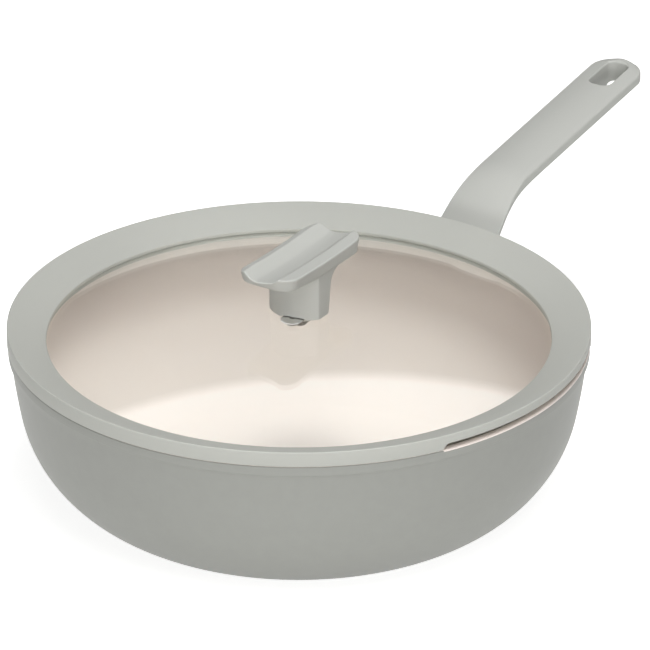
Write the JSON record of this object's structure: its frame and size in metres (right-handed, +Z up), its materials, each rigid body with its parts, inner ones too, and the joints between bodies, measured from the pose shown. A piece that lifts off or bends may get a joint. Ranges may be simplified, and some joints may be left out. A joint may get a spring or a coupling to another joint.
{
  "type": "covered wok",
  "caption": "Deep flat-bottomed wok with a long raised handle and a domed glass lid held in a silicone rim with pouring slots.",
  "frame": {"origin": "centre of the base, on the surface the pan stands on", "axes": "+Z up along the pan's own axis, +X from that axis out along the handle, +Y to the left when looking along +X from above the pan"},
  "size_m": [0.4752, 0.3, 0.1391],
  "materials": {
    "pan_coating": "cast aluminium, matt warm grey enamel outside, cream non-stick coating inside",
    "base_steel": "brushed magnetic steel",
    "cast_aluminium": "cast, matt warm grey",
    "handle_plastic": "heat-resistant moulded plastic, soft-touch matt grey",
    "silicone": "matt grey food-grade silicone",
    "lid_glass": "clear toughened glass",
    "fixing_steel": "stainless steel",
    "eyelet_steel": "polished stainless steel",
    "insert_brass": "turned brass"
  },
  "bodies": {
    "pan": {"pan_body": "pan_coating", "induction_disc": "base_steel", "handle_bracket": "cast_aluminium", "handle_grip": "handle_plastic", "handle_washer": "fixing_steel", "handle_screw": "fixing_steel"},
    "lid": {"lid_glass": "lid_glass", "silicone_rim": "silicone", "knob": "handle_plastic", "knob_insert": "insert_brass", "knob_gasket": "silicone", "glass_seal": "silicone", "knob_washer": "fixing_steel", "knob_screw": "fixing_steel", "vent_eyelet": "eyelet_steel"}
  },
  "joints": [
    {"name": "lid_lift", "type": "slide", "parent": "pan", "child": "lid", "axis": [0, 0, 1], "range_m": [0, 0.15]}
  ]
}
